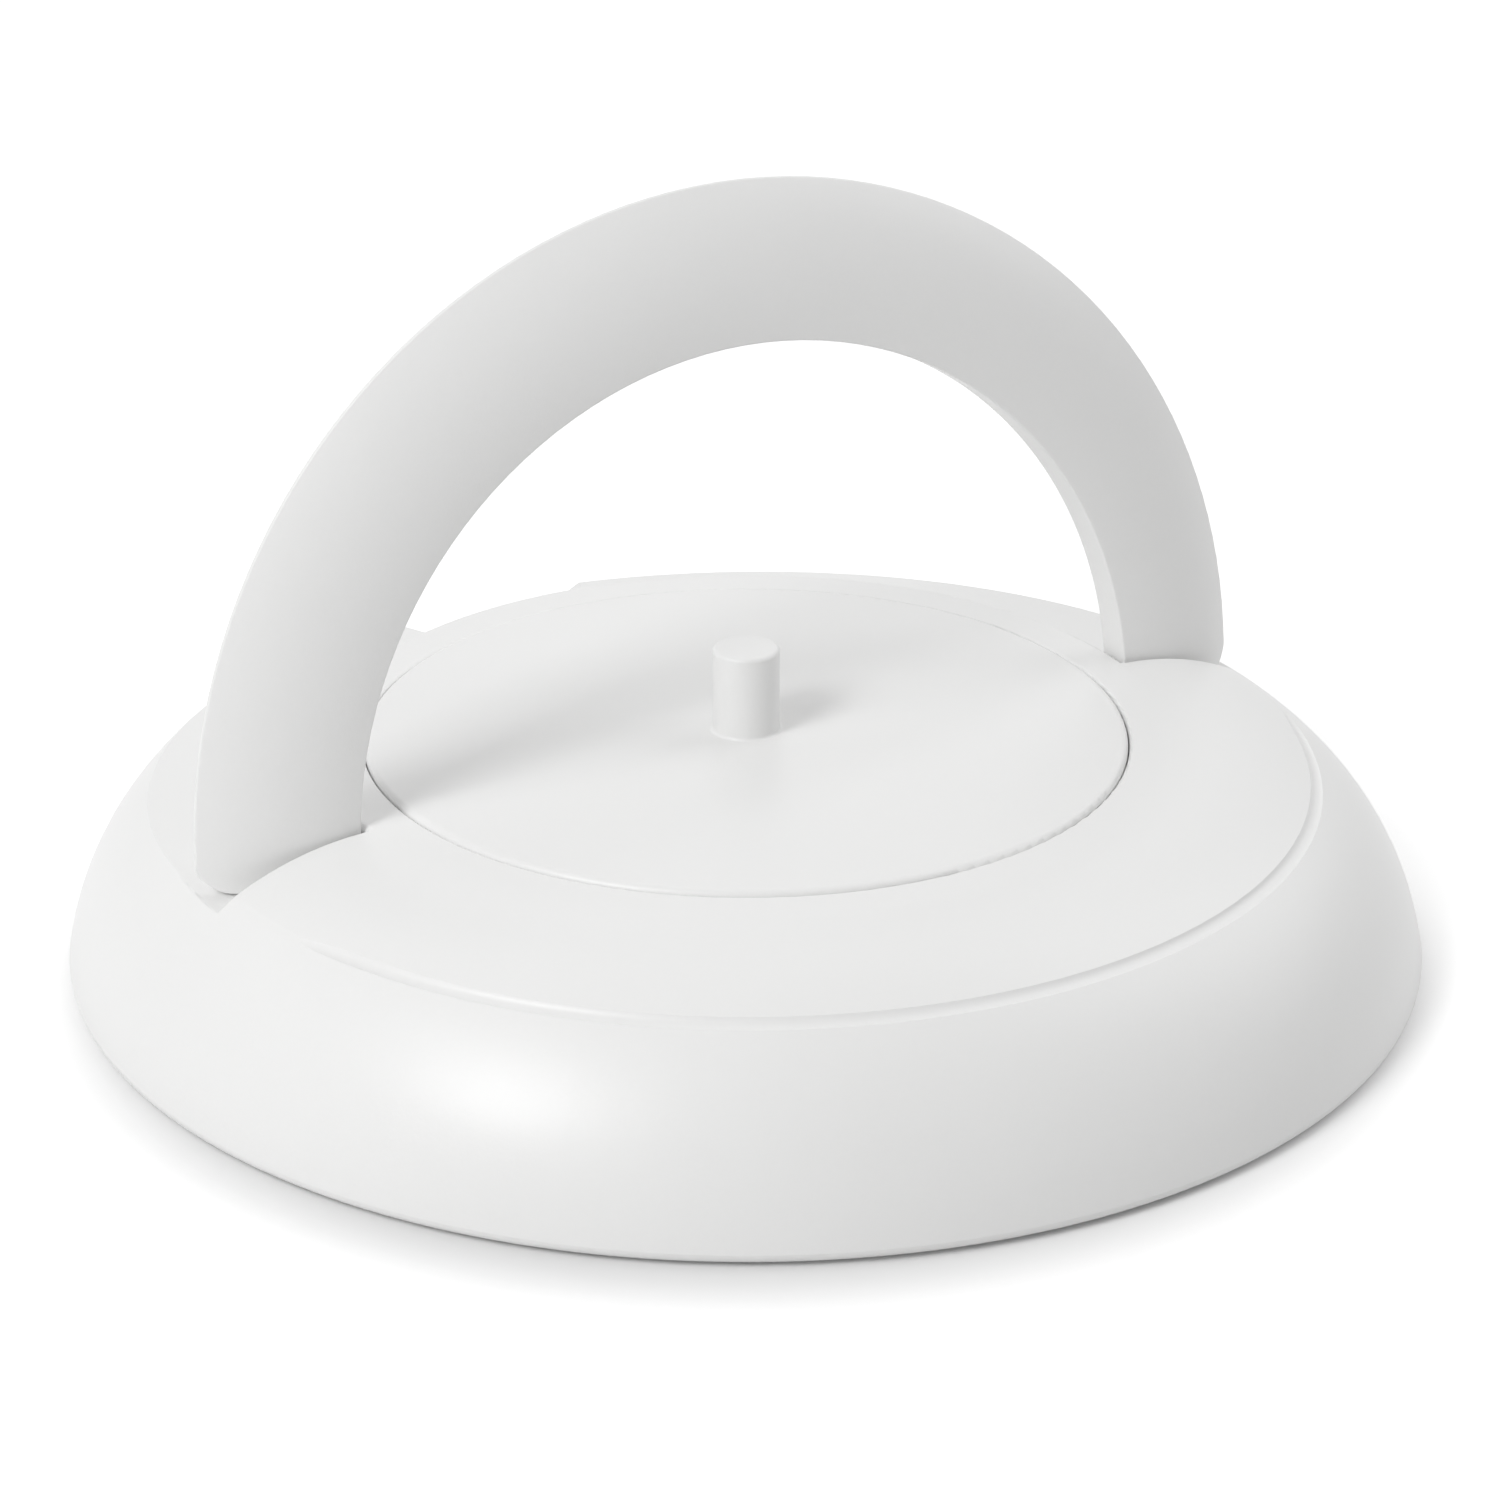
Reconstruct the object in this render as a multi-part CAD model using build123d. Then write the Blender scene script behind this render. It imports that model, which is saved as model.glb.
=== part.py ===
from build123d import *
import math
import os

# Turntable with a fold-down carrying handle. Millimetres, +Z up.
# Origin: centre of the underside, on the surface that the feet stand on.
# The handle turns about a line along X, and folds towards +Y into a channel in the base.

# Disc and its peg
disc_radius = 55.9
disc_thickness = 3.0
disc_edge_round = 1.0
disc_proud = 0.5
disc_flange_depth = 5.0
disc_flange_wall = 2.2
disc_rib_count = 8
disc_rib_wall = 1.6
disc_rib_depth = 3.0
peg_radius = 4.93
peg_height = 12.8
peg_top_round = 0.6
peg_foot_round = 0.5
peg_flange = 0.8

# Base, worked out from the disc outwards
disc_gap = 0.2
rim_width = 7.2
ring_width = 20.2
skirt_width = 16.8
skirt_arc_radius = 38.0
ring_level = 6.2
ring_rise = 5.2
shell_wall = 2.5
shell_edge_round = 1.2
groove_radius = 1.6
groove_depth = 0.45
groove_half_angle = 67.0
groove_runout = 16.0
well_edge_round = 0.5
rim_edge_round = 1.0
channel_edge_round = 0.7
crest_round = 0.4
channel_fall_start = 10.0
channel_fall = 2.3

# Underside
foot_lift = 0.6
cover_recess = 0.8
cover_thickness = 2.6
cover_gap = 0.3
foot_count = 4
foot_radius = 7.0
foot_inset = 20.0
foot_seat_depth = 1.0
foot_gap = 0.1
screw_count = 6
screw_inset = 25.0
screw_head_radius = 3.0
screw_head_height = 1.4
screw_shank_radius = 1.4
screw_length = 10.0
screw_hole_gap = 0.3
screw_tip_gap = 1.2
screw_slot_width = 0.8
screw_slot_depth = 0.7
boss_radius = 4.2

# Axle, from the cover upwards
tail_room = 2.0
axle_radius = 3.0
axle_end = 1.2
axle_chamfer = 0.4
axle_into_peg = 4.0
clip_thickness = 1.0
clip_radius = 5.6
clip_groove_depth = 0.7
clip_gap_width = 3.4
washer_thickness = 0.8
washer_radius = 6.4
end_play = 0.1
running_gap = 0.05
bush_wall = 2.0
bush_length = 9.0
bush_flange = 1.0
bush_flange_width = 2.0
hub_wall = 3.0
hub_gap = 0.5
disc_hub_lap = 1.0

# Ball bearing
ball_count = 16
ball_radius = 2.5
ball_play = 0.05
race_thickness = 3.0
race_width = 9.0
race_inset = 9.0
track_radius = 2.7
track_depth = 1.5
race_seat = 3.5
race_seat_width = 5.0
race_lip = 1.5
race_gap = 0.1
cage_thickness = 1.2
cage_margin = 1.4
cage_ball_gap = 0.15

# Handle
handle_side_gap = 0.5
handle_drop = 0.15
pivot_drop = 4.8
handle_under_pivot = 2.2
handle_overhang = 0.3
handle_arc_radius = 31.0
handle_edge = 0.6
handle_edge_round = 0.4
handle_outer_round = 0.5
handle_back_round = 0.2
handle_palm_round = 1.5
handle_corner_round = 4.5
handle_wall = 2.0
handle_edge_land = 8.0
handle_ledge = 1.2
handle_cover_thickness = 1.4
handle_cover_gap = 0.1
handle_foot_solid = 12.0
handle_rib_count = 7
handle_rib_wall = 1.4
raised_angle = 85.7
knuckle_radius = 2.2
knuckle_length = 13.0
knuckle_gap = 0.3
end_wall_gap = 0.3
pivot_screw_radius = 1.5
pivot_screw_depth = 10.0
pivot_head_radius = 2.6
pivot_head_height = 1.8
pivot_head_sink = 0.3
pivot_head_gap = 0.25
pivot_washer_radius = 2.1
pivot_washer_sink = 0.3
pivot_washer_play = 0.1

# Finger scoop in the channel's outer edge
scoop_radius = 23.0
scoop_depth = 8.0
scoop_slope = 23.0

# Radii, from the axis outwards
well_radius = disc_radius + disc_gap
level_radius = well_radius + ring_level
rim_radius = well_radius + rim_width
crease_radius = rim_radius + ring_width
base_radius = crease_radius + skirt_width
race_outer = disc_radius - race_inset
race_inner = race_outer - race_width
pitch_radius = (race_outer + race_inner) / 2
bush_radius = axle_radius + running_gap + bush_wall
hub_radius = bush_radius + hub_wall
peg_seat_radius = peg_radius + peg_foot_round + peg_flange
handle_inner = rim_radius + handle_side_gap
foot_circle = base_radius - foot_inset
screw_circle = base_radius - screw_inset

# Heights, from the floor upwards
shell_edge = foot_lift
cover_low = shell_edge + cover_recess
cover_top = cover_low + cover_thickness
axle_low = cover_top + tail_room
clip_low = axle_low + axle_end
washer_low = clip_low + clip_thickness
hub_low = washer_low + washer_thickness + end_play
well_floor = hub_low + bush_length
lower_race_top = well_floor + race_thickness
ball_height = lower_race_top - track_depth + ball_play + ball_radius
upper_race_low = ball_height + ball_radius + ball_play - track_depth
upper_race_top = upper_race_low + race_thickness
disc_under = upper_race_top + race_seat
disc_top = disc_under + disc_thickness
ring_top = disc_top - disc_proud
crease_height = ring_top - ring_rise
pivot_height = ring_top - pivot_drop
channel_floor = pivot_height - knuckle_radius - knuckle_gap
handle_under = pivot_height - handle_under_pivot

# The ring is level beside the well, and then its arc falls to the crease
ring_arc_radius = ((crease_radius - level_radius) ** 2 + ring_rise ** 2) / (2 * ring_rise)

# The skirt's arc bulges outwards between the crease and the shell's edge
chord_r = base_radius - crease_radius
chord_z = crease_height - shell_edge
half_chord = math.hypot(chord_r, chord_z) / 2
arc_offset = math.sqrt(skirt_arc_radius ** 2 - half_chord ** 2)
skirt_centre_r = (base_radius + crease_radius) / 2 - arc_offset * chord_z / (2 * half_chord)
skirt_centre_z = (crease_height + shell_edge) / 2 - arc_offset * chord_r / (2 * half_chord)


def ring_height(radius):
    """Height of the ring's top at a distance from the axis."""
    run = max(0.0, radius - level_radius)
    return ring_top - ring_arc_radius + math.sqrt(ring_arc_radius ** 2 - run ** 2)


def skirt_reach(height, inset=0.0):
    """Distance of the skirt from the axis at a height, with the arc drawn in by inset."""
    rise = height - skirt_centre_z
    return skirt_centre_r + math.sqrt((skirt_arc_radius - inset) ** 2 - rise ** 2)


def arc_between(start, end, height_at):
    """Arc over two distances from the axis, through the height function's middle point."""
    middle = (start + end) / 2
    return ThreePointArc((start, height_at(start)), (middle, height_at(middle)), (end, height_at(end)))


def skirt_arc(low, high, inset=0.0):
    """Arc of the skirt between two heights."""
    points = [(skirt_reach(z, inset), z) for z in (low, (low + high) / 2, high)]
    return ThreePointArc(*points)


def turned(lines, arc=360):
    """Solid of revolution about Z of a closed outline of distance and height."""
    return revolve(Plane.XZ * make_face(Curve() + lines), Axis.Z, arc)


def path(*points):
    """Straight lines through the points, as a list."""
    return [Line(a, b) for a, b in zip(points, points[1:])]


def tube(inner, outer, low, high):
    """Upright ring between two radii and two heights."""
    blank = upright(outer, low, high)
    return blank - upright(inner, low, high)


def upright(radius, low, high):
    """Upright cylinder on the Z axis between two heights."""
    return Pos(0, 0, low) * Cylinder(radius, high - low, align=(Align.CENTER, Align.CENTER, Align.MIN))


def along_x(radius, start, end):
    """Cylinder on the handle's pivot line between two distances along X."""
    rod = Cylinder(radius, end - start, align=(Align.CENTER, Align.CENTER, Align.MIN))
    return Pos(start, 0, pivot_height) * Rot(0, 90, 0) * rod


def around(count, radius, first=0.0):
    """Places on a circle about Z, each turned to face outwards."""
    return [Rot(0, 0, first + 360 * k / count) * Pos(radius, 0, 0) for k in range(count)]


def both_sides(shape):
    """A shape at the +X foot together with its copy at the -X foot."""
    return [shape, mirror(shape, Plane.YZ)]


def block(low, high):
    """Box between two corners."""
    size = [b - a for a, b in zip(low, high)]
    return Pos(*low) * Box(*size, align=(Align.MIN, Align.MIN, Align.MIN))


reach = 2 * base_radius


def beyond(start):
    """Space above Z 0 and further than start along Y."""
    return block((-reach, start, 0), (reach, reach, reach))


# The handle's section, and what is set out from it
handle_outer = skirt_reach(handle_under) + handle_overhang
handle_crown = ring_top - handle_drop
handle_fall = handle_crown - handle_under - handle_edge
crown_radius = handle_outer - math.sqrt(handle_fall * (2 * handle_arc_radius - handle_fall))
cover_outer = handle_outer - handle_edge_land
cover_inner = handle_inner + handle_wall
front_of_handle = handle_crown - pivot_height
end_wall = -(front_of_handle + end_wall_gap)
behind_end_wall = beyond(end_wall)

# Places of screws and feet
screw_places = around(screw_count, screw_circle, 180 / screw_count)
foot_places = around(foot_count, foot_circle, 180 / foot_count)
pivot_head_start = well_radius + pivot_head_sink
pivot_head_end = pivot_head_start + pivot_head_height


def scoop(growth=0.0):
    """Sloping cylinder of the finger scoop, lowest at the channel's outer edge."""
    edge_reach = skirt_reach(channel_floor)
    edge_floor = channel_floor - (edge_reach - channel_fall_start) * math.tan(math.radians(channel_fall))
    radius = scoop_radius + growth
    rod = Rot(90, 0, 0) * Cylinder(radius, reach)
    tilted = Rot(-scoop_slope, 0, 0) * Pos(0, 0, scoop_radius) * rod
    return Pos(0, edge_reach, edge_floor - scoop_depth) * tilted


def above_fall(drop=0.0):
    """Space above the part of the channel's floor that falls towards the scoop, lowered by drop."""
    return Pos(0, channel_fall_start, channel_floor - drop) * Rot(-channel_fall, 0, 0) * beyond(0)


def dome():
    """Outside of the base as one solid, before anything is taken out."""
    outline = path((0, ring_top), (0, shell_edge), (base_radius, shell_edge))
    outline += [skirt_arc(shell_edge, crease_height), arc_between(level_radius, crease_radius, ring_height)]
    outline += path((level_radius, ring_top), (0, ring_top))
    solid = turned(outline)
    edge = solid.edges().filter_by(GeomType.CIRCLE).group_by(Axis.Z)[0]
    return fillet(edge, shell_edge_round)


def shell_cavity():
    """Hollow of the base: low all round, and higher under the front ring."""
    top = channel_floor - shell_wall
    well_outer = well_radius + shell_wall
    well_under = well_floor - shell_wall
    low = path((0, well_under), (0, shell_edge), (skirt_reach(shell_edge, shell_wall), shell_edge))
    low += [skirt_arc(shell_edge, top, shell_wall)]
    low += path((skirt_reach(top, shell_wall), top), (well_outer, top), (well_outer, well_under))
    low += path((well_outer, well_under), (0, well_under))

    def ring_under(radius):
        return ring_height(radius) - shell_wall

    outer = skirt_reach(top, shell_wall) - shell_wall
    high = path((rim_radius, ring_under(rim_radius)), (rim_radius, top))
    high += path((rim_radius, top), (outer, top), (outer, ring_under(outer)))
    high += [arc_between(rim_radius, outer, ring_under)]
    front = turned(high) - Pos(0, -shell_wall, 0) * behind_end_wall
    return turned(low) - above_fall(shell_wall) + front


def rounding(centre, radius, start, end):
    """Arc about a centre between two angles in radians, with its two ends."""
    angles = (start, (start + end) / 2, end)
    points = [(centre[0] + radius * math.cos(a), centre[1] + radius * math.sin(a)) for a in angles]
    return ThreePointArc(*points), points[0], points[2]


def channel():
    """Space that the handle folds into, with the rim's top and the floor's outer edge rounded over."""
    ring_centre = ring_top - ring_arc_radius
    rim_r = rim_radius - rim_edge_round
    run = max(0.0, rim_r - level_radius)
    rim_z = ring_centre + math.sqrt((ring_arc_radius - rim_edge_round) ** 2 - run ** 2)
    rim_lean = math.atan2(rim_z - ring_centre, run)
    rim_arc, on_ring, on_wall = rounding((rim_r, rim_z), rim_edge_round, rim_lean, 0)
    edge_z = channel_floor - channel_edge_round
    edge_r = skirt_reach(edge_z, channel_edge_round)
    edge_lean = math.atan2(edge_z - skirt_centre_z, edge_r - skirt_centre_r)
    edge_arc, on_floor, on_skirt = rounding((edge_r, edge_z), channel_edge_round, math.pi / 2, edge_lean)
    outline = path((on_ring[0], reach), on_ring) + [rim_arc]
    outline += path(on_wall, (rim_radius, channel_floor), on_floor) + [edge_arc]
    outline += path(on_skirt, (reach, on_skirt[1]), (reach, reach), (on_ring[0], reach))
    return turned(outline) & behind_end_wall


def crease_groove():
    """Round cutter along the front crease, which runs out straight at both ends and so fades away."""
    slope = math.atan2(crease_radius - level_radius, ring_arc_radius - ring_rise)
    lift = groove_radius - groove_depth
    arc_radius = crease_radius + lift * math.sin(slope)
    arc = CenterArc((0, 0), arc_radius, -90 - groove_half_angle, 2 * groove_half_angle)
    run_in = Line(arc @ 0 - (arc % 0) * groove_runout, arc @ 0)
    run_out = Line(arc @ 1, arc @ 1 + (arc % 1) * groove_runout)
    section = Plane(origin=run_in @ 0, z_dir=run_in % 0) * Circle(groove_radius)
    cutter = sweep(section, path=Wire([run_in, arc, run_out]))
    return Pos(0, 0, crease_height + lift * math.cos(slope)) * cutter


def base_shell():
    """Domed housing with front ring, channel, rim, disc well, hub and screw bosses."""
    outside = dome()
    bosses = [place * upright(boss_radius, cover_top, ring_top) for place in screw_places]
    patch = outside & scoop(shell_wall) & upright(reach, cover_top, channel_floor)
    shell = outside - shell_cavity()
    shell += [outside & boss for boss in bosses]
    shell += [patch, upright(hub_radius, hub_low, well_floor)]
    shell -= upright(well_radius, well_floor, reach)
    lip = race_outer + race_gap
    shell += tube(lip, lip + race_lip, well_floor, well_floor + race_lip)
    shell = soften(shell - (tube(rim_radius, reach, channel_floor, reach) & behind_end_wall))
    shell -= channel()
    shell -= (scoop() + above_fall()) & tube(rim_radius, reach, cover_top, reach)
    shell -= crease_groove()
    shell -= upright(bush_radius, 0, well_floor)
    shell -= [place * upright(screw_shank_radius, 0, cover_top + screw_length) for place in screw_places]
    shell -= both_sides(along_x(pivot_screw_radius + running_gap, well_radius - disc_gap, handle_inner))
    shell -= both_sides(along_x(pivot_head_radius + pivot_head_gap, well_radius - disc_gap, pivot_head_end))
    seat_radius = pivot_washer_radius + pivot_head_gap
    shell -= both_sides(along_x(seat_radius, rim_radius - pivot_washer_sink, handle_inner))
    return shell


def rings_at(shape, radius, height):
    """Edges of a shape that run round the Z axis at a radius and a height."""

    def runs_there(edge):
        points = [edge @ 0, edge @ 0.5]
        off = [math.hypot(math.hypot(p.X, p.Y) - radius, p.Z - height) for p in points]
        return max(off) < running_gap

    return [e for e in shape.edges() if runs_there(e)]


def soften(shell):
    """Rounds the crests of the end walls and the well's mouth."""

    def on_crest(edge):
        box = edge.bounding_box()
        off = max(abs(box.min.Y - end_wall), abs(box.max.Y - end_wall))
        return off < running_gap and box.size.X > crest_round and box.max.Z > channel_floor + crest_round

    shell = fillet([e for e in shell.edges() if on_crest(e)], crest_round)
    return fillet(rings_at(shell, well_radius, ring_top), well_edge_round)


def bottom_cover():
    """Plate inside the skirt that closes the underside, with seats for feet and screws."""
    plate = upright(skirt_reach(cover_top, shell_wall) - cover_gap, cover_low, cover_top)
    foot_seat = upright(foot_radius + foot_gap, 0, cover_low + foot_seat_depth)
    plate -= [place * foot_seat for place in foot_places]
    hole = upright(screw_shank_radius + screw_hole_gap, 0, cover_top)
    hole += upright(screw_head_radius + screw_hole_gap, 0, cover_low + screw_head_height)
    plate -= [place * hole for place in screw_places]
    return plate


def rubber_feet():
    """Round pads under the cover."""
    pad = upright(foot_radius, 0, cover_low + foot_seat_depth)
    pad = fillet(pad.edges().group_by(Axis.Z)[0], foot_lift)
    return [place * pad for place in foot_places]


def cover_screws():
    """Pan-head screws from the cover up into the shell's bosses."""
    head_top = cover_low + screw_head_height
    screw = upright(screw_head_radius, cover_low, head_top)
    screw += upright(screw_shank_radius, head_top, cover_top + screw_length - screw_tip_gap)
    slot = block((-screw_head_radius, -screw_slot_width / 2, 0),
                 (screw_head_radius, screw_slot_width / 2, cover_low + screw_slot_depth))
    cross = slot + Rot(0, 0, 90) * slot
    screw -= cross & upright(screw_head_radius - screw_slot_width, 0, cover_top)
    return [place * screw for place in screw_places]


def turntable_disc():
    """Disc with rounded edge, flange, race seat, hub and ribs, open at its centre for the peg."""
    disc = upright(disc_radius, disc_under, disc_top)
    disc = fillet(rings_at(disc, disc_radius, disc_top), disc_edge_round)
    disc -= upright(peg_seat_radius, disc_under, disc_top)
    disc += tube(disc_radius - disc_flange_wall, disc_radius, disc_under - disc_flange_depth, disc_under)
    seat = race_seat_width / 2
    disc += tube(pitch_radius - seat, pitch_radius + seat, upper_race_top, disc_under)
    lip = race_outer + race_gap
    disc += tube(lip, lip + race_lip, upper_race_top - race_lip, disc_under)
    hub = peg_seat_radius + disc_hub_lap
    disc += tube(axle_radius, hub, well_floor + bush_flange + hub_gap, disc_under)
    rib = block((hub - disc_rib_wall, -disc_rib_wall / 2, disc_under - disc_rib_depth),
                (pitch_radius - seat + disc_rib_wall, disc_rib_wall / 2, disc_under))
    disc += [Rot(0, 0, 360 * k / disc_rib_count) * rib for k in range(disc_rib_count)]
    return disc - upright(axle_radius, well_floor, disc_under)


def centre_peg():
    """Round-topped peg whose foot flares into a flange, set flush in the disc over the axle's end."""
    peg = upright(peg_seat_radius, disc_under, disc_top)
    peg += upright(peg_radius, disc_top, disc_top + peg_height)
    peg = fillet(rings_at(peg, peg_radius, disc_top + peg_height), peg_top_round)
    peg = fillet(rings_at(peg, peg_radius, disc_top), peg_foot_round)
    return peg - upright(axle_radius, disc_under, disc_top + axle_into_peg)


def axle_pin():
    """Steel axle, fast in the disc's hub and in the peg, with a groove for the clip near its tail."""
    pin = upright(axle_radius, axle_low, disc_top + axle_into_peg)
    pin = chamfer(pin.edges().group_by(Axis.Z)[0], axle_chamfer)
    return pin - tube(axle_radius - clip_groove_depth, reach, clip_low, washer_low)


def axle_bush():
    """Flanged bush in the base's hub."""
    body = upright(bush_radius, hub_low, well_floor)
    body += upright(bush_radius + bush_flange_width, well_floor, well_floor + bush_flange)
    return body - upright(axle_radius + running_gap, 0, ring_top)


def thrust_washer():
    """Washer between the clip and the bush."""
    return tube(axle_radius + running_gap, washer_radius, washer_low, washer_low + washer_thickness)


def axle_clip():
    """Open retaining clip in the axle's groove."""
    ring = tube(axle_radius - clip_groove_depth, clip_radius, clip_low, washer_low)
    return ring - block((0, -clip_gap_width / 2, 0), (reach, clip_gap_width / 2, reach))


def race(low, track_height):
    """Flat ring with a round ball track, its centre line at a height."""
    ring = tube(race_inner, race_outer, low, low + race_thickness)
    return ring - Pos(0, 0, track_height) * Torus(pitch_radius, track_radius)


def lower_race():
    """Ball track in the disc well."""
    return race(well_floor, lower_race_top - track_depth + track_radius)


def upper_race():
    """Ball track under the disc."""
    return race(upper_race_low, upper_race_low + track_depth - track_radius)


def ball_cage():
    """Flat ring with a pocket for each ball."""
    half = ball_radius + cage_margin
    low = ball_height - cage_thickness / 2
    ring = tube(pitch_radius - half, pitch_radius + half, low, low + cage_thickness)
    pocket = upright(ball_radius + cage_ball_gap, 0, ring_top)
    return ring - [place * pocket for place in around(ball_count, pitch_radius)]


def bearing_balls():
    """Balls on the pitch circle."""
    ball = Pos(0, 0, ball_height) * Sphere(ball_radius)
    return [place * ball for place in around(ball_count, pitch_radius)]


def handle_top(radius):
    """Height of the folded handle's top: an arc over the crown, down to the outer edge."""
    run = radius - crown_radius
    return handle_crown - handle_arc_radius + math.sqrt(handle_arc_radius ** 2 - run ** 2)


def round_corner(face, radius, height, rounding_radius):
    """Rounds the corner of a section nearest to a distance from the axis and a height."""
    corner = face.vertices().sort_by_distance((radius, height, 0))[0]
    return fillet(corner, rounding_radius)


def handle_section():
    """Cross-section of the folded handle, with its long edges rounded."""
    outline = path((handle_inner, handle_top(handle_inner)), (handle_inner, handle_under),
                   (handle_outer, handle_under), (handle_outer, handle_top(handle_outer)))
    outline += [arc_between(handle_inner, handle_outer, handle_top)]
    face = make_face(Curve() + outline)
    outer_round = min(handle_outer_round, handle_edge - handle_back_round)
    face = round_corner(face, handle_inner, handle_under, handle_palm_round)
    face = round_corner(face, handle_outer, handle_under, handle_back_round)
    face = round_corner(face, handle_inner, handle_top(handle_inner), handle_edge_round)
    return round_corner(face, handle_outer, handle_top(handle_outer), outer_round)


def raised(shape):
    """Turns a piece from its folded place up about the pivot line."""
    return Pos(0, 0, pivot_height) * Rot(raised_angle, 0, 0) * Pos(0, 0, -pivot_height) * shape


def handle_pocket():
    """Hollow in the handle's back: a recess for the cover, and a ribbed pocket behind a ledge."""
    recess = tube(cover_inner, cover_outer, handle_under, handle_under + handle_cover_thickness)
    recess &= beyond(handle_foot_solid)
    inner = cover_inner + handle_ledge
    outer = cover_outer - handle_ledge

    def roof(radius):
        return handle_top(radius) - handle_wall

    outline = path((inner, roof(inner)), (inner, handle_under), (outer, handle_under), (outer, roof(outer)))
    outline += [arc_between(inner, outer, roof)]
    pocket = turned(outline, 180) & beyond(handle_foot_solid + handle_ledge)
    rib_foot = handle_under + handle_cover_thickness
    rib = block((0, -handle_rib_wall / 2, rib_foot), (reach, handle_rib_wall / 2, reach))
    pocket -= [Rot(0, 0, 180 * (k + 1) / (handle_rib_count + 1)) * rib for k in range(handle_rib_count)]
    return recess + pocket


def foot_corner():
    """Cutter that rounds the outer corner of the +X foot, seen square to the handle's plane."""
    low_y = -knuckle_radius
    corner_x = handle_outer - handle_corner_round
    corner_y = low_y + handle_corner_round
    square = block((corner_x, low_y - handle_edge, 0), (reach, corner_y, reach))
    return square - Pos(corner_x, corner_y, 0) * upright(handle_corner_round, 0, reach)


def handle_shell():
    """Half-ring handle with round-ended feet, hollow at its back."""
    section = handle_section()
    arch = revolve(Plane.XZ * section, Axis.Z, 180)
    tail = extrude(Plane.XZ * section, amount=knuckle_radius)
    slot_top = pivot_height + front_of_handle - knuckle_radius
    rounded = along_x(knuckle_radius, 0, reach)
    rounded += Pos(0, 0, slot_top - pivot_height) * rounded
    rounded += block((0, -knuckle_radius, pivot_height), (reach, knuckle_radius, slot_top))
    knuckle = along_x(knuckle_radius, handle_inner, handle_inner + knuckle_length)
    feet = (tail & rounded) + knuckle
    handle = arch + both_sides(feet)
    handle -= both_sides(foot_corner())
    handle -= handle_pocket()
    handle -= both_sides(along_x(pivot_screw_radius, 0, handle_inner + pivot_screw_depth))
    return raised(handle)


def handle_back_cover():
    """Half-ring plate that closes the handle's back."""
    plate = tube(cover_inner + handle_cover_gap, cover_outer - handle_cover_gap,
                 handle_under, handle_under + handle_cover_thickness)
    plate &= beyond(handle_foot_solid + handle_cover_gap)
    return raised(plate)


def pivot_screws():
    """Shoulder screws from inside the disc well, through the rim, fast in the handle's feet."""
    screw = along_x(pivot_head_radius, pivot_head_start, pivot_head_end - running_gap)
    screw += along_x(pivot_screw_radius, pivot_head_start, handle_inner + pivot_screw_depth)
    slot = block((pivot_head_start, -screw_slot_width / 2, 0),
                 (pivot_head_start + screw_slot_depth, screw_slot_width / 2, reach))
    screw -= slot
    return both_sides(raised(screw))


def pivot_washers():
    """Friction washers between the rim and the handle's feet."""
    start = rim_radius - pivot_washer_sink
    end = handle_inner - pivot_washer_play
    ring = along_x(pivot_washer_radius, start, end)
    ring -= along_x(pivot_screw_radius + running_gap, start, end)
    return both_sides(ring)


nodes = {
    "base_shell": base_shell,
    "bottom_cover": bottom_cover,
    "rubber_feet": rubber_feet,
    "cover_screws": cover_screws,
    "turntable_disc": turntable_disc,
    "centre_peg": centre_peg,
    "axle_pin": axle_pin,
    "axle_bush": axle_bush,
    "thrust_washer": thrust_washer,
    "axle_clip": axle_clip,
    "lower_race": lower_race,
    "upper_race": upper_race,
    "ball_cage": ball_cage,
    "bearing_balls": bearing_balls,
    "handle_shell": handle_shell,
    "handle_back_cover": handle_back_cover,
    "pivot_screws": pivot_screws,
    "pivot_washers": pivot_washers,
}

os.makedirs("parts", exist_ok=True)
for name, make in nodes.items():
    made = make()
    pieces = made if isinstance(made, list) else [made]
    solids = [solid for piece in pieces for solid in piece.solids()]
    shape = solids[0] if len(solids) == 1 else Compound(children=solids)
    export_step(shape, f"parts/{name}.step")
    size = shape.bounding_box().size
    print(f"{name}: {len(solids)} solid(s), {size.X:.1f} x {size.Y:.1f} x {size.Z:.1f} mm")
print(f"base diameter {2 * base_radius:.1f}, disc top {disc_top:.2f}, ring top {ring_top:.2f}, "
      f"pivot {pivot_height:.2f}, channel floor {channel_floor:.2f}, "
      f"handle radii {handle_inner:.2f} to {handle_outer:.2f}")
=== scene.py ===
"""Looks of a white domed turntable: a flat disc with a centre peg, and a half-ring handle that folds."""

import logging
import math
from dataclasses import dataclass, field
from enum import Enum

import bpy
import numpy as np
from mathutils import Matrix, Vector

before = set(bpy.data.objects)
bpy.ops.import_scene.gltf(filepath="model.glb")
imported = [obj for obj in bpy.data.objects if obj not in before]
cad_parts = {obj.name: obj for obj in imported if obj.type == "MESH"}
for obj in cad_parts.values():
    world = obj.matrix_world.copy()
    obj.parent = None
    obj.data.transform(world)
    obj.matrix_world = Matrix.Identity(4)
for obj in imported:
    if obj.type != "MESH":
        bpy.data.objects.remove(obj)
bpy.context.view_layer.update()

PHOTO_SIDE = 1500
SENSOR_MM = 36.0
MM = 0.001
# Noise values between which a finish goes from its dark to its light colour, and through its roughness.
NOISE_SPAN = (0.3, 0.7)

log = logging.getLogger("turntable")

Colour = tuple[float, float, float]


class Noise(Enum):
    """Noise patterns that a finish can be grained with."""

    MOULD = "mould_texture"
    BRUSH = "brushed_lines"


def rgba(colour: Colour) -> tuple[float, float, float, float]:
    """A colour with full alpha."""
    return (*colour, 1.0)


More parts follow.
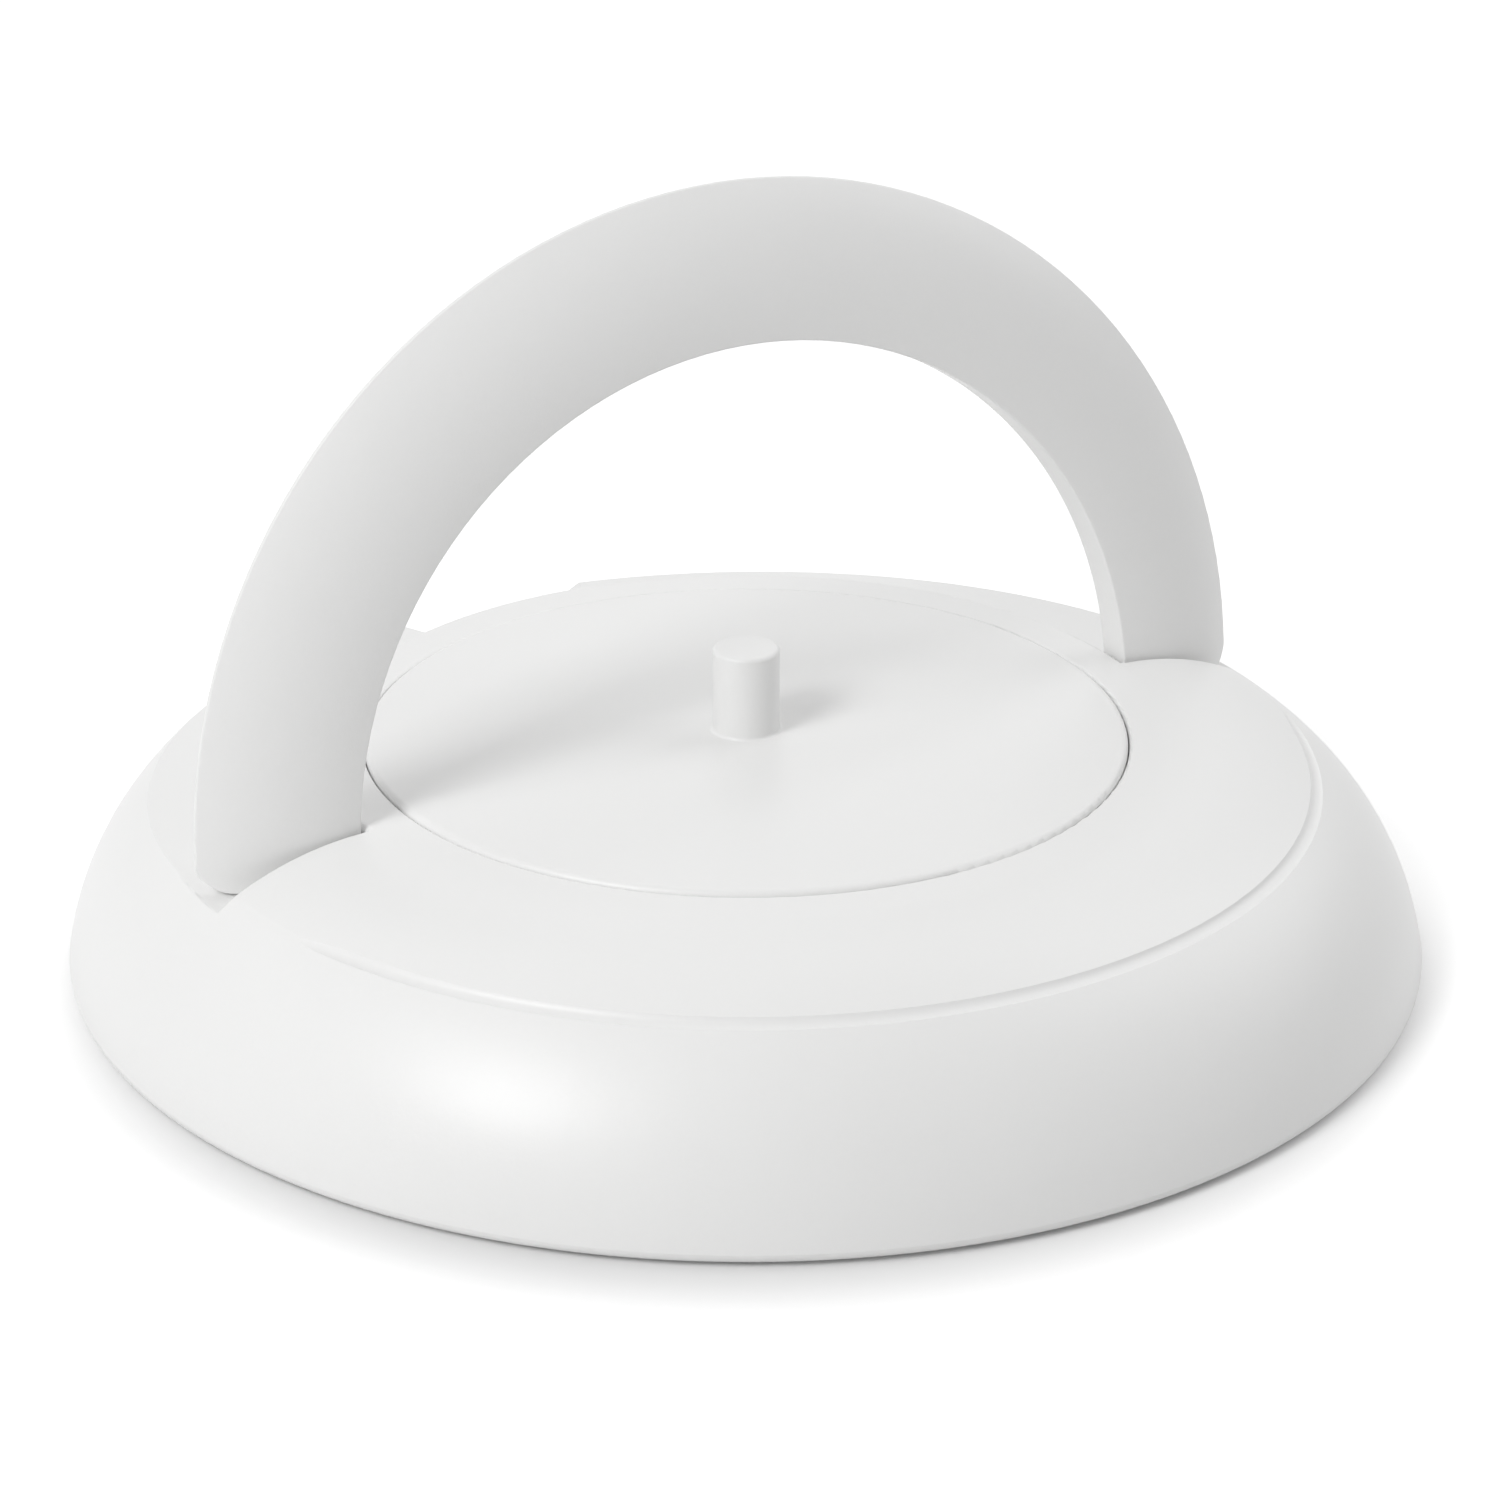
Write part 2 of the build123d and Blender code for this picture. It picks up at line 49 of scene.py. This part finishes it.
def from_photo(across: float, away: float, up: float) -> Vector:
    """Turns a direction or place in the photograph's frame into the part's frame.

    The photograph's frame has X to the right, Y away from the camera and Z up. The part's frame is the
    same one turned about Z until X lies along the handle's pivot line.

    Args:
        across: distance to the right.
        away: distance from the camera.
        up: height.

    Returns:
        The same vector in the part's frame.
    """
    turn = Matrix.Rotation(math.radians(-PhotoCamera.pivot_azimuth), 3, "Z")
    return turn @ Vector((across, away, up))


@dataclass(frozen=True)
class PhotoCamera:
    """Camera that stands where the photograph's camera stood. Lengths are in millimetres."""

    pivot_azimuth: float = 29.154
    elevation: float = 26.001
    distance: float = 662.42
    focal_px: float = 4426.4
    aim_across: float = 0.572
    aim_height: float = 28.548
    roll: float = 0.108
    shell_edge: float = 0.6
    sees_from: float = 10.0
    sees_to: float = 20000.0

    def build(self) -> bpy.types.Object:
        """Makes the camera and sets it as the scene's own.

        Returns:
            The camera object.
        """
        rise = math.radians(self.elevation)
        lift = Vector((0.0, 0.0, self.shell_edge))
        place = from_photo(0.0, -math.cos(rise), math.sin(rise)) * self.distance + lift
        aim = from_photo(self.aim_across, 0.0, self.aim_height) + lift
        ahead = (aim - place).normalized()
        level = ahead.cross(Vector((0.0, 0.0, 1.0))).normalized()
        upward = level.cross(ahead)
        tip = math.radians(self.roll)
        right = level * math.cos(tip) + upward * math.sin(tip)
        top = upward * math.cos(tip) - level * math.sin(tip)
        data = bpy.data.cameras.new("photo_camera")
        data.sensor_width = SENSOR_MM
        data.sensor_fit = "AUTO"
        data.lens = SENSOR_MM * self.focal_px / PHOTO_SIDE
        data.clip_start = self.sees_from * MM
        data.clip_end = self.sees_to * MM
        camera = bpy.data.objects.new("photo_camera", data)
        axes = Matrix((right, top, -ahead)).transposed().to_4x4()
        camera.matrix_world = Matrix.Translation(place * MM) @ axes
        bpy.context.scene.collection.objects.link(camera)
        bpy.context.scene.camera = camera
        return camera


class NodeTree:
    """Short ways to add and join shader nodes in one tree."""

    def __init__(self, tree: bpy.types.NodeTree) -> None:
        """Keeps the tree that nodes are added to."""
        self.tree = tree

    def add(self, kind: str, **settings: object) -> bpy.types.Node:
        """Adds a node and sets its properties.

        Args:
            kind: the node's class name, without the leading ShaderNode.
            settings: property names and values.

        Returns:
            The new node.
        """
        node = self.tree.nodes.new("ShaderNode" + kind)
        for name, value in settings.items():
            setattr(node, name, value)
        return node

    def join(self, start: bpy.types.NodeSocket, end: bpy.types.NodeSocket) -> None:
        """Links an output to an input."""
        self.tree.links.new(start, end)

    def maths(self, operation: str, first: object, second: object) -> bpy.types.NodeSocket:
        """Adds a Math node.

        Args:
            operation: the node's operation.
            first: a socket or a number.
            second: a socket or a number.

        Returns:
            The node's output.
        """
        node = self.add("Math", operation=operation)
        for value, socket in zip((first, second), node.inputs):
            if isinstance(value, bpy.types.NodeSocket):
                self.join(value, socket)
            else:
                socket.default_value = value
        return node.outputs[0]


class NoiseGroup:
    """Shader node group that turns two noise scales into Tone, Gloss and Height, each from 0 to 1."""

    kind: Noise

    def build(self) -> bpy.types.NodeTree:
        """Makes the group, or returns the one that was made before.

        Returns:
            The node group.
        """
        made = bpy.data.node_groups.get(self.kind.value)
        if made:
            return made
        tree = bpy.data.node_groups.new(self.kind.value, "ShaderNodeTree")
        for label in ("Cloud Scale", "Grain Scale"):
            tree.interface.new_socket(label, in_out="INPUT", socket_type="NodeSocketFloat")
        for label in ("Tone", "Gloss", "Height"):
            tree.interface.new_socket(label, in_out="OUTPUT", socket_type="NodeSocketFloat")
        inward = tree.nodes.new("NodeGroupInput")
        outward = tree.nodes.new("NodeGroupOutput")
        self.fill(NodeTree(tree), inward.outputs, outward.inputs)
        return tree

    def fill(self, nodes: NodeTree, scales: bpy.types.bpy_prop_collection,
             results: bpy.types.bpy_prop_collection) -> None:
        """Joins the group's scales to its results. Each kind of noise has its own way.

        Args:
            nodes: the group's tree.
            scales: sockets of the two noise scales.
            results: sockets of tone, gloss and height.
        """
        raise NotImplementedError


@dataclass
class MouldTexture(NoiseGroup):
    """Moulded surface: slow clouds of tone with a share of fine grain in them, and the grain's height."""

    kind: Noise = Noise.MOULD
    cloud_detail: float = 3.0
    grain_detail: float = 4.0
    grain_roughness: float = 0.6
    grain_share: float = 0.35

    def fill(self, nodes: NodeTree, scales: bpy.types.bpy_prop_collection,
             results: bpy.types.bpy_prop_collection) -> None:
        """Joins clouds and grain to the results.

        Args:
            nodes: the group's tree.
            scales: sockets of the two noise scales.
            results: sockets of tone, gloss and height.
        """
        place = nodes.add("TexCoord")
        cloud = nodes.add("TexNoise")
        cloud.inputs["Detail"].default_value = self.cloud_detail
        grain = nodes.add("TexNoise")
        grain.inputs["Detail"].default_value = self.grain_detail
        grain.inputs["Roughness"].default_value = self.grain_roughness
        for texture, label in ((cloud, "Cloud Scale"), (grain, "Grain Scale")):
            nodes.join(place.outputs["Object"], texture.inputs["Vector"])
            nodes.join(scales[label], texture.inputs["Scale"])
        speck = nodes.maths("MULTIPLY", grain.outputs["Fac"], self.grain_share)
        slow = nodes.maths("MULTIPLY", cloud.outputs["Fac"], 1.0 - self.grain_share)
        nodes.join(nodes.maths("ADD", speck, slow), results["Tone"])
        nodes.join(cloud.outputs["Fac"], results["Gloss"])
        nodes.join(grain.outputs["Fac"], results["Height"])


@dataclass
class BrushedLines(NoiseGroup):
    """Turned or drawn metal: noise squeezed along Z into fine lines, with slow clouds over them."""

    kind: Noise = Noise.BRUSH
    squeeze: float = 14.0
    line_detail: float = 5.0

    def fill(self, nodes: NodeTree, scales: bpy.types.bpy_prop_collection,
             results: bpy.types.bpy_prop_collection) -> None:
        """Joins lines and clouds to the results.

        Args:
            nodes: the group's tree.
            scales: sockets of the two noise scales.
            results: sockets of tone, gloss and height.
        """
        place = nodes.add("TexCoord")
        thin = nodes.add("Mapping")
        thin.inputs["Scale"].default_value = (1.0, 1.0, self.squeeze)
        nodes.join(place.outputs["Object"], thin.inputs["Vector"])
        lines = nodes.add("TexNoise")
        lines.inputs["Detail"].default_value = self.line_detail
        cloud = nodes.add("TexNoise")
        nodes.join(thin.outputs["Vector"], lines.inputs["Vector"])
        nodes.join(place.outputs["Object"], cloud.inputs["Vector"])
        nodes.join(scales["Grain Scale"], lines.inputs["Scale"])
        nodes.join(scales["Cloud Scale"], cloud.inputs["Scale"])
        tone = nodes.maths("MULTIPLY", lines.outputs["Fac"], cloud.outputs["Fac"])
        nodes.join(tone, results["Tone"])
        nodes.join(cloud.outputs["Fac"], results["Gloss"])
        nodes.join(lines.outputs["Fac"], results["Height"])


@dataclass(frozen=True)
class Finish:
    """A surface finish. Colours are linear, and lengths are in metres."""

    name: str
    light: Colour
    dark: Colour
    roughness: tuple[float, float]
    noise: Noise = Noise.MOULD
    cloud_scale: float = 22.0
    grain_scale: float = 1600.0
    grain_height: float = 0.00002
    metallic: float = 0.0

    def material(self) -> bpy.types.Material:
        """Makes the finish's material, or returns the one that was made before.

        Returns:
            A material whose colour, roughness and bump change over the surface.
        """
        made = bpy.data.materials.get(self.name)
        if made:
            return made
        material = bpy.data.materials.new(self.name)
        material.use_nodes = True
        nodes = NodeTree(material.node_tree)
        shader = material.node_tree.nodes["Principled BSDF"]
        shader.inputs["Metallic"].default_value = self.metallic
        group = MouldTexture() if self.noise is Noise.MOULD else BrushedLines()
        effect = nodes.add("Group", node_tree=group.build())
        effect.inputs["Cloud Scale"].default_value = self.cloud_scale
        effect.inputs["Grain Scale"].default_value = self.grain_scale
        tint = nodes.add("ValToRGB")
        for stop, level, colour in zip(tint.color_ramp.elements, NOISE_SPAN, (self.dark, self.light)):
            stop.position = level
            stop.color = rgba(colour)
        nodes.join(effect.outputs["Tone"], tint.inputs["Fac"])
        nodes.join(tint.outputs["Color"], shader.inputs["Base Color"])
        gloss = nodes.add("MapRange")
        for end, level, roughness in zip(("Min", "Max"), NOISE_SPAN, self.roughness):
            gloss.inputs["From " + end].default_value = level
            gloss.inputs["To " + end].default_value = roughness
        nodes.join(effect.outputs["Gloss"], gloss.inputs["Value"])
        nodes.join(gloss.outputs["Result"], shader.inputs["Roughness"])
        bump = nodes.add("Bump")
        bump.inputs["Strength"].default_value = 1.0
        bump.inputs["Distance"].default_value = self.grain_height
        nodes.join(effect.outputs["Height"], bump.inputs["Height"])
        nodes.join(bump.outputs["Normal"], shader.inputs["Normal"])
        return material


WHITE = Finish("white_moulded_plastic", (0.855, 0.855, 0.85), (0.835, 0.835, 0.83), (0.35, 0.41))
COVER = Finish("cover_moulded_plastic", (0.78, 0.78, 0.77), (0.74, 0.74, 0.73), (0.5, 0.6),
               grain_height=0.00004)
RUBBER = Finish("foot_rubber", (0.045, 0.045, 0.047), (0.028, 0.028, 0.03), (0.7, 0.85),
                grain_height=0.00005)
ACETAL = Finish("bearing_plastic", (0.7, 0.69, 0.62), (0.66, 0.65, 0.58), (0.4, 0.5))
WASHER = Finish("washer_plastic", (0.5, 0.5, 0.48), (0.45, 0.45, 0.43), (0.45, 0.55))
ZINC = Finish("zinc_steel", (0.62, 0.63, 0.66), (0.5, 0.51, 0.54), (0.26, 0.38), Noise.BRUSH,
              cloud_scale=120.0, grain_scale=900.0, grain_height=0.00001, metallic=1.0)
BALL = Finish("ball_steel", (0.72, 0.73, 0.75), (0.66, 0.67, 0.7), (0.08, 0.14),
              cloud_scale=200.0, grain_scale=4000.0, grain_height=0.000002, metallic=1.0)


@dataclass
class SubAssembly:
    """A group of nodes with their finishes."""

    title: str
    finishes: dict[str, Finish] = field(default_factory=dict)

    def dress(self) -> None:
        """Gives every node of the group its material."""
        for name, finish in self.finishes.items():
            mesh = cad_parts[name].data
            mesh.materials.clear()
            mesh.materials.append(finish.material())
            log.info("%s: %s in %s", self.title, name, finish.name)


@dataclass
class Base(SubAssembly):
    """Domed housing with its cover, feet, screws and washers."""

    title: str = "base"
    finishes: dict[str, Finish] = field(default_factory=lambda: {
        "base_shell": WHITE, "bottom_cover": COVER, "cover_screws": ZINC, "rubber_feet": RUBBER,
        "axle_bush": ACETAL, "pivot_washers": WASHER})


@dataclass
class Disc(SubAssembly):
    """Turning disc with its peg, axle and the axle's clip."""

    title: str = "disc"
    finishes: dict[str, Finish] = field(default_factory=lambda: {
        "turntable_disc": WHITE, "centre_peg": WHITE, "axle_pin": ZINC, "thrust_washer": WASHER,
        "axle_clip": ZINC})


@dataclass
class BallBearing(SubAssembly):
    """Races, balls and cage between the base and the disc."""

    title: str = "bearing"
    finishes: dict[str, Finish] = field(default_factory=lambda: {
        "lower_race": ZINC, "upper_race": ZINC, "ball_cage": ACETAL, "bearing_balls": BALL})


@dataclass
class Handle(SubAssembly):
    """Half-ring handle with its back cover and pivot screws."""

    title: str = "handle"
    finishes: dict[str, Finish] = field(default_factory=lambda: {
        "handle_shell": WHITE, "handle_back_cover": WHITE, "pivot_screws": ZINC})


@dataclass(frozen=True)
class SoftBox:
    """A square soft light that faces the part's middle.

    The azimuth is counted from the camera, to the right, and the elevation from the floor, in degrees.
    Lengths are in metres.
    """

    name: str
    azimuth: float
    elevation: float
    distance: float
    side: float
    watts: float
    aim_height: float = 0.03

    def build(self) -> bpy.types.Object:
        """Makes the light.

        Returns:
            The light object.
        """
        data = bpy.data.lights.new(self.name, "AREA")
        data.shape = "SQUARE"
        data.size = self.side
        data.energy = self.watts
        lamp = bpy.data.objects.new(self.name, data)
        turn, rise = math.radians(self.azimuth), math.radians(self.elevation)
        level = math.cos(rise)
        place = from_photo(math.sin(turn) * level, -math.cos(turn) * level, math.sin(rise)) * self.distance
        lamp.location = place
        aim = Vector((0.0, 0.0, self.aim_height))
        lamp.rotation_euler = (aim - place).to_track_quat("-Z", "Y").to_euler()
        bpy.context.scene.collection.objects.link(lamp)
        return lamp


@dataclass
class Studio:
    """White floor with a painted shadow along the front of the base, white surroundings and soft lights.
    Lengths are in metres.
    """

    floor_side: float = 12.0
    floor_colour: Colour = (0.8, 0.8, 0.8)
    floor_roughness: float = 0.9
    # Floor glow near and far from the base, and the reach and forward shift of the change: the low near
    # glow paints a shadow along the front of the base.
    glow_and_painted_shadow: tuple[float, float] = (0.05, 0.42)
    painted_shadow_reach: tuple[float, float] = (0.088, 0.108)
    painted_shadow_shift: float = 0.012
    fill_level: float = 0.4
    lights: tuple[SoftBox, ...] = (
        SoftBox("key_light", -43.5, 38.5, 1.5, 0.5, 8.2),
        SoftBox("high_key_light", -55.0, 52.0, 1.5, 0.5, 2.8),
        SoftBox("right_back_light", 120.0, 40.0, 1.6, 1.2, 7.2),
        SoftBox("back_light", 180.0, 45.0, 1.6, 1.2, 1.4),
        SoftBox("left_back_light", -120.0, 40.0, 1.6, 1.2, 1.2),
    )

    def floor(self) -> bpy.types.Object:
        """Makes a flat floor at height 0.

        Returns:
            The floor.
        """
        half = self.floor_side / 2
        corner = np.array([-half, half])
        across, away = np.meshgrid(corner, corner)
        points = np.stack([across.ravel(), away.ravel(), np.zeros(4)], axis=1)
        mesh = bpy.data.meshes.new("floor")
        mesh.from_pydata(points.tolist(), [], [(0, 1, 3, 2)])
        mesh.materials.append(self.floor_material())
        floor = bpy.data.objects.new("floor", mesh)
        bpy.context.scene.collection.objects.link(floor)
        return floor

    def seen_directly(self, nodes: NodeTree) -> bpy.types.NodeSocket:
        """Adds a mask that is 1 for rays from the camera, and for mirrored and transmitted ones.

        Args:
            nodes: the tree that the mask is added to.

        Returns:
            The mask's output.
        """
        path = nodes.add("LightPath")
        mask = nodes.maths("MAXIMUM", path.outputs["Is Camera Ray"], path.outputs["Is Glossy Ray"])
        return nodes.maths("MAXIMUM", mask, path.outputs["Is Transmission Ray"])

    def floor_material(self) -> bpy.types.Material:
        """Makes a pale floor that glows where it is seen, so that it is white and keeps its shadow.

        The glow is low near the base and grows with the distance from a place a little in front of the
        part's middle, between the two ends of its reach. This paints a shadow along the front of the base,
        which stays in place whatever the part's pose.

        Returns:
            The floor's material.
        """
        material = bpy.data.materials.new("floor_white")
        material.use_nodes = True
        nodes = NodeTree(material.node_tree)
        shader = material.node_tree.nodes["Principled BSDF"]
        shader.inputs["Base Color"].default_value = rgba(self.floor_colour)
        shader.inputs["Roughness"].default_value = self.floor_roughness
        shader.inputs["Specular IOR Level"].default_value = 0.0
        shader.inputs["Emission Color"].default_value = (1.0, 1.0, 1.0, 1.0)
        place = nodes.add("TexCoord")
        radius = nodes.add("VectorMath", operation="DISTANCE")
        radius.inputs[1].default_value = from_photo(0.0, -self.painted_shadow_shift, 0.0)
        nodes.join(place.outputs["Object"], radius.inputs[0])
        # Painted shadow: the floor's glow is low near the base and rises to white farther out.
        painted_shadow_ramp = nodes.add("MapRange", interpolation_type="SMOOTHSTEP")
        for end, reach, level in zip(("Min", "Max"), self.painted_shadow_reach, self.glow_and_painted_shadow):
            painted_shadow_ramp.inputs["From " + end].default_value = reach
            painted_shadow_ramp.inputs["To " + end].default_value = level
        nodes.join(radius.outputs["Value"], painted_shadow_ramp.inputs["Value"])
        glow_and_painted_shadow = nodes.maths("MULTIPLY", self.seen_directly(nodes), painted_shadow_ramp.outputs["Result"])
        nodes.join(glow_and_painted_shadow, shader.inputs["Emission Strength"])
        return material

    def world(self) -> None:
        """Surrounds the part with even light, seen as plain white."""
        world = bpy.data.worlds.new("studio")
        world.use_nodes = True
        bpy.context.scene.world = world
        nodes = NodeTree(world.node_tree)
        sky = world.node_tree.nodes["Background"]
        sky.inputs["Color"].default_value = (1.0, 1.0, 1.0, 1.0)
        extra = nodes.maths("MULTIPLY", self.seen_directly(nodes), 1.0 - self.fill_level)
        nodes.join(nodes.maths("ADD", extra, self.fill_level), sky.inputs["Strength"])

    def build(self) -> None:
        """Makes the floor, the world and the lights."""
        self.floor()
        self.world()
        for light in self.lights:
            light.build()
            log.info("studio: %s", light.name)


def main() -> None:
    """Builds the scene."""
    logging.basicConfig(level=logging.INFO, format="%(name)s: %(message)s")
    bpy.context.scene.view_settings.view_transform = "Standard"
    PhotoCamera().build()
    for group in (Base(), Disc(), BallBearing(), Handle()):
        group.dress()
    Studio().build()


if __name__ == "__main__":
    main()
